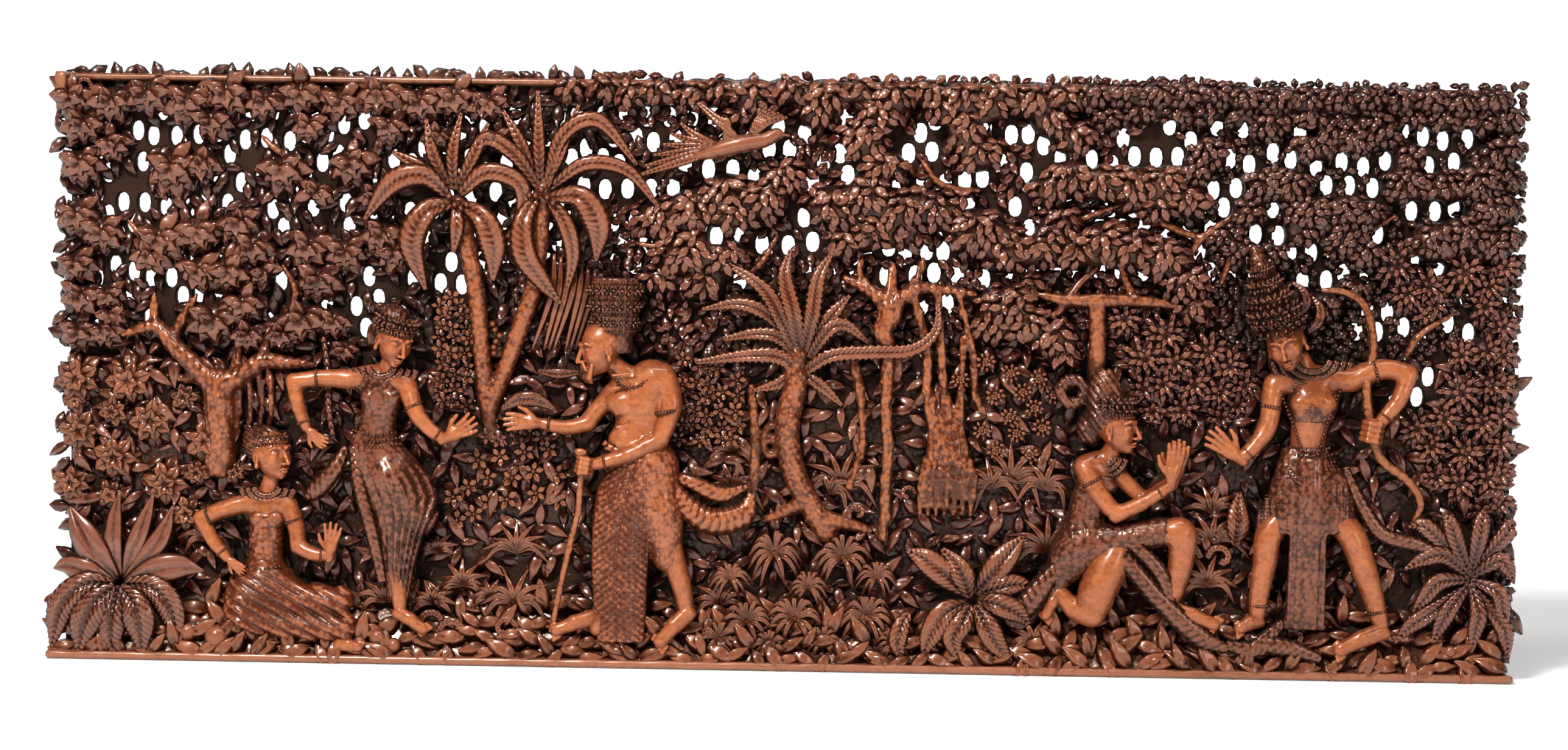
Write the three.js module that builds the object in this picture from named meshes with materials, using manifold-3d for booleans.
// A pierced high-relief wall panel carved from one plank: five figures among trees and plants in
// front of a background that is pierced with rows of ovals. Millimetres, +Z up, +X to the right of
// someone who faces the carving. The flat back lies in the plane Y = 0 and the carving grows
// towards -Y. The origin is the middle of the back.
//
// Places are given as the carver would lay them out on the plank: x from the left edge, z from the
// bottom edge, and depth, the height of the relief above the flat back.

import * as THREE from 'three';
import { mergeVertices } from 'three/addons/utils/BufferGeometryUtils.js';
import Module from 'manifold-3d';

const WIDTH = 1500;
const HEIGHT = 600;
const DEPTH = 70;

const PLATE_DEPTH = 12;
const LOWER_PLATE_DEPTH = 24;
const LOWER_PLATE_TOP = 300;
const RAIL_HEIGHT = 9;
const RAIL_DEPTH = 40;
const LEDGE_HEIGHT = 9;
const SIDE_INSET = 14;
const BOSS_FOOT = 3;
const BOSS_SIDES = 5;
const BLADE_WIDEST = 0.45;

const HOLE_WIDTH = 14;
const HOLE_HEIGHT = 20;
const HOLE_SIDES = 6;

const BIG_LEAF_CLUSTER = { radius: 31, depth: 46 };
const ROUND_LEAF_CLUSTER = { radius: 29, depth: 48 };
const FINE_LEAF_CLUSTER = { radius: 26, depth: 44 };
const ROSETTE = { radius: 27, depth: 54 };
const BLOSSOM_CLUSTER = { radius: 27, depth: 52 };

const WOOD = { name: 'carved_wood', color: 0x7a4426, roughness: 0.42, metalness: 0 };

const wasm = await Module();
wasm.setup();

// --- basic forms -----------------------------------------------------------------------------

/** Point of the model for a place on the plank. */
function place(x, z, depth) {
  return new THREE.Vector3(x - WIDTH / 2, -depth, z - HEIGHT / 2);
}

/** Closed solid of a three.js geometry, with shared corners merged and empty triangles left out. */
function solid(geometry) {
  const bare = geometry.clone();
  ['normal', 'uv'].forEach((name) => bare.deleteAttribute(name));
  const merged = mergeVertices(bare, 1e-4);
  const corners = merged.index.array;
  const kept = [];
  for (let i = 0; i < corners.length; i += 3) {
    const [a, b, c] = corners.slice(i, i + 3);
    if (a !== b && b !== c && c !== a) kept.push(a, b, c);
  }
  return new wasm.Manifold(new wasm.Mesh({
    numProp: 3,
    vertProperties: new Float32Array(merged.attributes.position.array),
    triVerts: new Uint32Array(kept),
  }));
}

/** Closed bar that follows a list of [x, z, depth, radius] points, pointed at both ends. */
function bar(points, sides = 5) {
  const spine = points.map(([x, z, depth]) => place(x, z, depth));
  const last = spine.length - 1;
  const headingAt = (i) => spine[Math.min(i + 1, last)].clone().sub(spine[Math.max(i - 1, 0)]).normalize();
  const corners = [];
  points.forEach(([, , , radius], i) => {
    const heading = headingAt(i);
    const outward = new THREE.Vector3(0, -1, 0);
    outward.addScaledVector(heading, -outward.dot(heading)).normalize();
    const sideways = new THREE.Vector3().crossVectors(heading, outward);
    for (let k = 0; k < sides; k += 1) {
      const angle = (2 * Math.PI * k) / sides;
      const corner = spine[i].clone().addScaledVector(outward, radius * Math.cos(angle));
      corners.push(corner.addScaledVector(sideways, radius * Math.sin(angle)));
    }
  });
  const tipBefore = spine[0].clone().addScaledVector(headingAt(0), -0.6 * points[0][3]);
  const tipAfter = spine[last].clone().addScaledVector(headingAt(last), 0.6 * points[last][3]);
  const before = corners.push(tipBefore) - 1;
  const after = corners.push(tipAfter) - 1;
  const faces = [];
  for (let k = 0; k < sides; k += 1) {
    const next = (k + 1) % sides;
    faces.push(before, next, k, after, last * sides + k, last * sides + next);
    for (let i = 0; i < last; i += 1) {
      const [a, b] = [i * sides + k, i * sides + next];
      faces.push(a, b, b + sides, a, b + sides, a + sides);
    }
  }
  const geometry = new THREE.BufferGeometry().setFromPoints(corners);
  geometry.setIndex(faces);
  return solid(geometry);
}

/** Rounded lump with its own half sizes across, up and in depth, leaning sideways by a tilt. */
function lump([x, z, depth], [halfWidth, halfHeight, halfDepth], tiltDegrees = 0, sides = 6) {
  const geometry = new THREE.SphereGeometry(1, sides, 4);
  geometry.scale(halfWidth, halfHeight, halfDepth);
  geometry.rotateX(Math.PI / 2);
  geometry.rotateY(THREE.MathUtils.degToRad(tiltDegrees));
  const centre = place(x, z, depth);
  geometry.translate(centre.x, centre.y, centre.z);
  return solid(geometry);
}

/** Low boss on the background, like a clump of leaves seen from in front. */
function boss([x, z], { radius, depth }) {
  const geometry = new THREE.LatheGeometry([
    new THREE.Vector2(0, BOSS_FOOT),
    new THREE.Vector2(radius, BOSS_FOOT),
    new THREE.Vector2(0.8 * radius, 0.8 * depth),
    new THREE.Vector2(0, depth),
  ], BOSS_SIDES);
  geometry.rotateX(Math.PI);
  const foot = place(x, z, 0);
  geometry.translate(foot.x, foot.y, foot.z);
  return solid(geometry);
}

/** Flat piece with an outline of [x, z] points between two depths. */
function slab(outline, back, front) {
  const shape = new THREE.Shape(outline.map(([x, z]) => new THREE.Vector2(x, z)));
  const geometry = new THREE.ExtrudeGeometry(shape, { depth: front - back, bevelEnabled: false });
  geometry.rotateX(Math.PI / 2);
  const corner = place(0, 0, back);
  geometry.translate(corner.x, corner.y, corner.z);
  return solid(geometry);
}

/** Pointed leaf or cloth tail from root to tip, as wide as given below its middle. */
function blade([x0, z0], [x1, z1], width, back, front) {
  const [alongX, alongZ] = [x1 - x0, z1 - z0];
  const half = width / 2 / Math.hypot(alongX, alongZ);
  const [middleX, middleZ] = [x0 + BLADE_WIDEST * alongX, z0 + BLADE_WIDEST * alongZ];
  const right = [middleX + half * alongZ, middleZ - half * alongX];
  const left = [middleX - half * alongZ, middleZ + half * alongX];
  return slab([[x0, z0], right, [x1, z1], left], back, front);
}

/** Leaves spread like a fan round a centre, from one angle to another. */
function fan([x, z], count, startDegrees, endDegrees, length, width, back, front) {
  const leaves = [];
  for (let i = 0; i < count; i += 1) {
    const share = i / (count - 1);
    const angle = THREE.MathUtils.degToRad(startDegrees + share * (endDegrees - startDegrees));
    const tip = [x + length * Math.cos(angle), z + length * Math.sin(angle)];
    leaves.push(blade([x, z], tip, width, back, front));
  }
  return leaves;
}

// --- background ------------------------------------------------------------------------------

// Ovals that stay open between the leaves: [height of the row, places along it].
const OPEN_HOLES = [
  [556, [316, 742, 885, 1142, 1422, 1444]],
  [547, [98, 146, 216, 240, 769, 981, 1120]],
  [528, [733, 876, 900, 1063, 1107, 1129, 1151, 1225, 1267, 1318, 1362]],
  [511, [88, 197, 273, 365, 671, 814, 952]],
  [500, [1211, 1303, 1326, 1350]],
  [488, [452, 543, 565, 588, 612, 635]],
  [476, [986, 1199, 1391, 1414]],
  [465, [67, 89, 264, 388, 770]],
  [448, [233, 1001, 1232, 1255, 1356]],
  [434, [680, 754, 779, 914]],
  [406, [407, 855, 905, 1305]],
  [390, [78, 323, 418]],
  [371, [129, 309, 918]],
  [354, [95, 1359]],
  [307, [1388, 1411]],
];

/** Outline of one pierced oval, as [x, z] points. */
function ovalOutline(x, z) {
  return Array.from({ length: HOLE_SIDES }, (_, i) => {
    const angle = (2 * Math.PI * (i + 0.5)) / HOLE_SIDES;
    return [x + (HOLE_WIDTH / 2) * Math.cos(angle), z + (HOLE_HEIGHT / 2) * Math.sin(angle)];
  });
}

/** The pierced plate with its thicker lower half, top rail, corner block and ground ledge. */
function background() {
  const right = WIDTH - SIDE_INSET;
  const plate = slab(
    [[SIDE_INSET, 0], [right, 0], [right, HEIGHT - 14], [right - 14, HEIGHT], [SIDE_INSET, HEIGHT]],
    0, PLATE_DEPTH,
  );
  const lower = slab(
    [[SIDE_INSET, 0], [right, 0], [right, 250], [1360, 262], [1200, LOWER_PLATE_TOP],
      [1120, 320], [880, 330], [700, LOWER_PLATE_TOP], [380, LOWER_PLATE_TOP], [SIDE_INSET, LOWER_PLATE_TOP]],
    4, LOWER_PLATE_DEPTH,
  );
  const rail = slab(
    [[0, HEIGHT - RAIL_HEIGHT], [1470, HEIGHT - RAIL_HEIGHT], [1470, HEIGHT], [0, HEIGHT]],
    0, RAIL_DEPTH,
  );
  const corner = slab([[0, 566], [16, 566], [16, HEIGHT], [0, HEIGHT]], 0, RAIL_DEPTH + 8);
  const ledge = slab(
    [[4, 0], [1484, 0], [1495, 4], [1495, 10], [1484, 16], [1100, LEDGE_HEIGHT + 5], [700, LEDGE_HEIGHT],
      [330, LEDGE_HEIGHT + 6], [4, LEDGE_HEIGHT + 3]],
    0, DEPTH,
  );
  const ovals = OPEN_HOLES.flatMap(([z, places]) => places.map((x) => slab(ovalOutline(x, z), -2, PLATE_DEPTH + 2)));
  const pierced = ovals.reduce((rest, oval) => rest.subtract(oval), plate);
  return [pierced, lower, rail, corner, ledge];
}

// --- foliage ---------------------------------------------------------------------------------

const BIG_LEAF_PLACES = [
  [26, 570], [66, 580], [178, 582], [280, 584], [352, 576], [412, 572], [32, 518], [132, 508],
  [238, 500], [320, 506], [150, 440], [108, 422], [40, 450], [190, 396], [330, 428], [30, 390],
  [34, 340], [165, 352], [258, 350], [275, 398],
];
const BLOSSOM_PLACES = [
  [27, 285], [80, 282], [28, 232], [102, 243], [158, 222], [66, 205], [27, 178], [130, 170],
];
const ROUND_LEAF_PLACES = [
  [460, 576], [556, 582], [610, 582], [660, 578], [710, 582], [836, 575], [940, 580], [1035, 572],
  [845, 530], [950, 528], [690, 480], [745, 500], [850, 470], [905, 470], [1046, 500], [1098, 490],
  [1150, 488], [632, 450], [735, 464], [640, 410], [945, 442], [1010, 430], [1082, 438], [1140, 412],
  [985, 372], [1024, 342], [1142, 336],
];
const FINE_LEAF_PLACES = [
  [1090, 580], [1190, 584], [1232, 584], [1320, 584], [1368, 580], [1474, 580], [1282, 548],
  [1474, 536], [1284, 482], [1450, 495], [1476, 455], [1330, 440], [1422, 444], [1372, 418],
  [1440, 396], [1478, 345], [1440, 300], [1478, 290], [1400, 248], [1472, 235], [1450, 190],
];

/** All the leaf clumps. */
function foliage() {
  return [
    ...BIG_LEAF_PLACES.map((spot) => boss(spot, BIG_LEAF_CLUSTER)),
    ...BLOSSOM_PLACES.map((spot) => boss(spot, BLOSSOM_CLUSTER)),
    ...ROUND_LEAF_PLACES.map((spot) => boss(spot, ROUND_LEAF_CLUSTER)),
    ...FINE_LEAF_PLACES.map((spot) => boss(spot, FINE_LEAF_CLUSTER)),
  ];
}

// --- trees -----------------------------------------------------------------------------------

/** Forked tree on the left, with roots hanging beside its trunk. */
function forkedTree() {
  return [
    bar([[172, 215, 36, 20], [170, 280, 40, 18], [125, 320, 40, 9], [108, 342, 38, 7], [72, 330, 34, 5]]),
    bar([[186, 280, 40, 12], [215, 304, 40, 8], [268, 304, 36, 5]]),
    bar([[108, 338, 36, 5], [104, 378, 32, 4]]),
    bar([[212, 280, 34, 5], [210, 215, 34, 4]]),
  ];
}

/** Two palms whose long leaves hang in loops. */
function palms() {
  const leaf = (points) => bar(points);
  return [
    bar([[441, 285, 32, 9], [441, 400, 36, 10], [415, 482, 38, 12]]),
    lump([415, 480, 26], [18, 15, 26]),
    leaf([[412, 474, 44, 9], [378, 445, 52, 11], [387, 388, 50, 4]]),
    leaf([[420, 474, 46, 9], [452, 440, 54, 10], [452, 398, 50, 5]]),
    leaf([[410, 482, 44, 8], [368, 500, 50, 9], [326, 456, 46, 3]]),
    leaf([[424, 482, 44, 8], [470, 500, 50, 8], [486, 468, 50, 9], [462, 425, 42, 3]]),
    bar([[455, 278, 32, 9], [482, 345, 36, 9], [500, 400, 38, 9], [504, 488, 40, 12]]),
    lump([505, 490, 26], [18, 15, 26]),
    leaf([[500, 482, 46, 9], [492, 430, 54, 11], [520, 376, 50, 4]]),
    leaf([[514, 484, 46, 9], [550, 468, 54, 11], [561, 420, 48, 4]]),
    leaf([[503, 490, 44, 7], [498, 540, 48, 8], [500, 582, 44, 5]]),
    leaf([[510, 492, 44, 7], [545, 548, 50, 8], [598, 508, 44, 4]]),
    leaf([[500, 495, 44, 7], [470, 545, 46, 7], [432, 520, 42, 3]]),
  ];
}

/** Tree in the middle whose toothed leaves spread from one hub. */
function toothedTree() {
  return [
    bar([[790, 130, 34, 15], [760, 200, 36, 13], [757, 245, 36, 13], [768, 330, 36, 15]]),
    bar([[765, 300, 42, 12], [735, 318, 46, 10], [668, 314, 44, 4]]),
    bar([[765, 325, 42, 11], [742, 370, 46, 9], [692, 414, 40, 3]]),
    bar([[768, 320, 42, 12], [762, 372, 44, 11], [764, 418, 36, 4]]),
    bar([[775, 320, 42, 9], [786, 380, 42, 8], [800, 398, 38, 3]]),
    bar([[775, 302, 42, 11], [825, 324, 46, 9], [882, 326, 44, 7], [908, 372, 40, 3]]),
    bar([[720, 208, 28, 6], [724, 285, 28, 6]]),
  ];
}

/** Spreading tree with roots that hang from its boughs to the ground. */
function bannerTree() {
  return [
    bar([[856, 130, 34, 10], [857, 250, 36, 8], [858, 318, 36, 7], [855, 368, 42, 13], [815, 400, 40, 6]]),
    bar([[858, 372, 42, 12], [890, 390, 42, 8], [942, 388, 38, 5]]),
    bar([[855, 375, 42, 9], [862, 410, 36, 4]]),
    bar([[900, 388, 38, 5], [905, 300, 34, 4], [922, 225, 34, 9], [922, 160, 34, 13]]),
    bar([[940, 386, 36, 5], [950, 330, 32, 3], [955, 270, 30, 3]]),
  ];
}

/** Small tree with a level bough. */
function levelTree() {
  return [
    bar([[1070, 300, 30, 8], [1070, 378, 36, 8]]),
    bar([[1016, 380, 36, 5], [1070, 380, 40, 7], [1150, 378, 34, 4]]),
    bar([[1042, 384, 36, 4], [1074, 414, 32, 3]]),
  ];
}

/** Bird that flies across the upper middle. */
function bird() {
  return [
    bar([[606, 516, 40, 4], [660, 530, 46, 9], [720, 528, 48, 10], [775, 506, 44, 4]]),
    blade([690, 530], [664, 578], 26, 8, 50),
    blade([700, 532], [742, 562], 20, 8, 46),
    blade([715, 526], [775, 512], 18, 8, 42),
  ];
}

// --- ground plants ---------------------------------------------------------------------------

/** Broad plant at the lower left. */
function broadPlant() {
  const heart = [70, 78];
  const tips = [
    [[22, 152], 30], [[70, 166], 20], [[102, 160], 20], [[152, 96], 34], [[6, 98], 26],
    [[6, 12], 24], [[36, 10], 22], [[70, 8], 26], [[104, 16], 24], [[136, 12], 20],
  ];
  return [lump([70, 78, 40], [18, 14, 20]), ...tips.map(([tip, width]) => blade(heart, tip, width, 10, 50))];
}

/** Low plants, curled roots, stones and shells along the ground. */
function groundPlants() {
  const rosettes = [[745, 118], [815, 112], [718, 48], [768, 46], [840, 55]];
  return [
    ...rosettes.map((spot) => boss(spot, ROSETTE)),
    lump([405, 50, 34], [42, 20, 26]),
    lump([455, 105, 34], [46, 34, 22]),
    lump([440, 190, 30], [42, 26, 20]),
    ...fan([946, 74], 4, -10, 190, 54, 34, 10, 54),
    ...fan([946, 64], 3, 215, 325, 50, 30, 10, 54),
    lump([895, 172, 32], [26, 20, 20]),
    ...fan([1188, 110], 3, 45, 135, 66, 26, 10, 46),
    ...fan([1440, 100], 6, -40, 220, 52, 26, 10, 50),
    lump([176, 28, 40], [14, 12, 22]),
    lump([1256, 38, 40], [36, 20, 28]),
    lump([1110, 36, 40], [40, 18, 28]),
    lump([415, 300, 28], [24, 46, 18]),
    lump([975, 270, 26], [36, 38, 16]),
  ];
}

// --- figures ---------------------------------------------------------------------------------

/** Woman seated on the ground, one hand on her hip and the other raised from the knee. */
function seatedWoman() {
  return [
    lump([228, 210, 50], [17, 20, 17]),
    lump([224, 226, 48], [19, 14, 17]),
    bar([[228, 196, 48, 8], [226, 172, 46, 9]]),
    bar([[225, 158, 46, 21], [222, 120, 44, 16], [228, 88, 42, 26]], 6),
    bar([[214, 163, 48, 10], [159, 145, 44, 7], [190, 103, 52, 5]]),
    bar([[238, 160, 48, 10], [258, 118, 54, 7], [290, 112, 58, 5], [298, 142, 56, 4]]),
    bar([[222, 84, 42, 25], [292, 62, 46, 19]], 6),
    bar([[208, 56, 44, 20], [300, 38, 44, 18]], 6),
  ];
}

/** Woman standing in a long pleated skirt, one hand on her sash and the other held out. */
function standingWoman() {
  return [
    lump([355, 328, 50], [15, 20, 16]),
    lump([352, 346, 48], [20, 18, 18]),
    bar([[350, 308, 46, 7], [344, 286, 46, 9]]),
    bar([[312, 288, 46, 10], [362, 282, 46, 10]]),
    bar([[338, 276, 46, 20], [335, 242, 46, 15], [350, 196, 46, 27], [358, 120, 46, 20], [356, 66, 46, 17]], 6),
    bar([[305, 290, 48, 8], [252, 284, 48, 7], [268, 240, 52, 6], [286, 224, 56, 5]]),
    bar([[370, 278, 48, 8], [382, 254, 52, 7], [410, 229, 58, 6], [432, 236, 60, 5], [442, 262, 58, 3]]),
    bar([[352, 56, 50, 8], [382, 38, 58, 6]]),
    blade([302, 208], [268, 164], 26, 10, 48),
  ];
}

/** Bent elder in a tall cloth hat, leaning on a cane. */
function elder() {
  return [
    lump([564, 332, 50], [17, 22, 17]),
    lump([574, 370, 48], [28, 27, 20]),
    bar([[556, 322, 56, 9], [553, 298, 56, 3]]),
    bar([[576, 314, 48, 9], [602, 296, 48, 20]]),
    bar([[606, 288, 46, 30], [604, 238, 46, 26], [604, 190, 46, 29]], 6),
    bar([[590, 180, 48, 26], [586, 40, 46, 26]], 6),
    bar([[634, 300, 54, 12], [630, 240, 58, 9], [560, 208, 62, 7]]),
    bar([[590, 284, 48, 10], [553, 250, 50, 7], [514, 244, 52, 6], [478, 258, 50, 5]]),
    blade([472, 268], [520, 272], 14, 10, 50),
    bar([[546, 215, 60, 4], [544, 160, 58, 4], [534, 120, 56, 4], [521, 40, 52, 4]]),
    bar([[565, 74, 52, 8], [521, 42, 58, 7]]),
    bar([[634, 195, 46, 22], [632, 140, 46, 16], [660, 76, 46, 9], [672, 55, 48, 9], [624, 30, 56, 6]]),
    bar([[642, 205, 44, 9], [652, 165, 46, 9], [682, 148, 46, 9], [720, 164, 42, 6]]),
  ];
}

/** Woman kneeling with her hands joined before her. */
function kneelingWoman() {
  return [
    lump([1088, 250, 50], [17, 21, 17]),
    lump([1068, 285, 44], [30, 24, 18]),
    bar([[1086, 236, 48, 8], [1078, 216, 46, 10]]),
    bar([[1074, 206, 46, 20], [1060, 160, 46, 19], [1058, 120, 46, 24]], 6),
    bar([[1066, 212, 52, 9], [1092, 164, 58, 8], [1146, 192, 60, 5], [1150, 242, 58, 4]]),
    bar([[1062, 128, 48, 22], [1150, 144, 50, 13], [1146, 86, 50, 10], [1156, 66, 52, 8], [1194, 58, 54, 5]]),
    bar([[1064, 110, 50, 23], [1076, 56, 50, 18], [1040, 72, 46, 8]]),
    blade([1042, 124], [986, 54], 24, 10, 46),
    blade([1100, 132], [1168, 40], 24, 10, 50),
  ];
}

/** Archer in a tall crown who draws one arm back beside a bow. */
function archer() {
  return [
    lump([1258, 344, 50], [18, 23, 17]),
    bar([[1252, 358, 48, 19], [1236, 398, 44, 12], [1219, 434, 38, 3]]),
    bar([[1272, 328, 46, 9], [1286, 308, 46, 12]]),
    bar([[1254, 304, 46, 11], [1330, 310, 46, 12]]),
    bar([[1288, 290, 46, 26], [1286, 240, 46, 17], [1292, 205, 46, 25]], 6),
    bar([[1248, 300, 50, 10], [1245, 260, 50, 8], [1222, 232, 54, 7], [1200, 224, 56, 5], [1182, 252, 52, 3]]),
    bar([[1332, 318, 50, 11], [1380, 308, 50, 9], [1350, 258, 58, 8], [1345, 246, 60, 11]]),
    bar([[1345, 215, 52, 4], [1340, 290, 52, 4], [1347, 350, 50, 4], [1325, 392, 46, 4], [1300, 395, 42, 4]]),
    bar([[1345, 232, 52, 4], [1388, 200, 48, 4], [1394, 160, 44, 4]]),
    bar([[1285, 200, 48, 28], [1256, 176, 50, 17], [1245, 84, 48, 10], [1230, 62, 56, 6]]),
    bar([[1300, 196, 48, 26], [1328, 160, 50, 16], [1346, 92, 48, 9], [1360, 62, 50, 9], [1318, 32, 58, 6]]),
    slab([[1270, 195], [1298, 195], [1306, 56], [1258, 56]], 10, 54),
    bar([[1326, 200, 46, 9], [1350, 160, 44, 8], [1378, 143, 40, 6], [1432, 116, 36, 3]]),
  ];
}

// --- the whole panel ------------------------------------------------------------------------

const body = [
  ...background(), ...foliage(),
  ...forkedTree(), ...palms(), ...toothedTree(), ...bannerTree(), ...levelTree(), ...bird(),
  ...broadPlant(), ...groundPlants(),
  ...seatedWoman(), ...standingWoman(), ...elder(), ...kneelingWoman(), ...archer(),
].reduce((sum, piece) => sum.add(piece)).getMesh();

const geometry = new THREE.BufferGeometry();
geometry.setAttribute('position', new THREE.BufferAttribute(body.vertProperties, 3));
geometry.setIndex(new THREE.BufferAttribute(body.triVerts, 1));
geometry.computeVertexNormals();

const material = new THREE.MeshStandardMaterial(WOOD);
const carvedPanel = new THREE.Mesh(geometry, material);
carvedPanel.name = 'carved_panel';

const panel = new THREE.Group();
panel.name = 'wall_panel';
panel.add(carvedPanel);

export default panel;
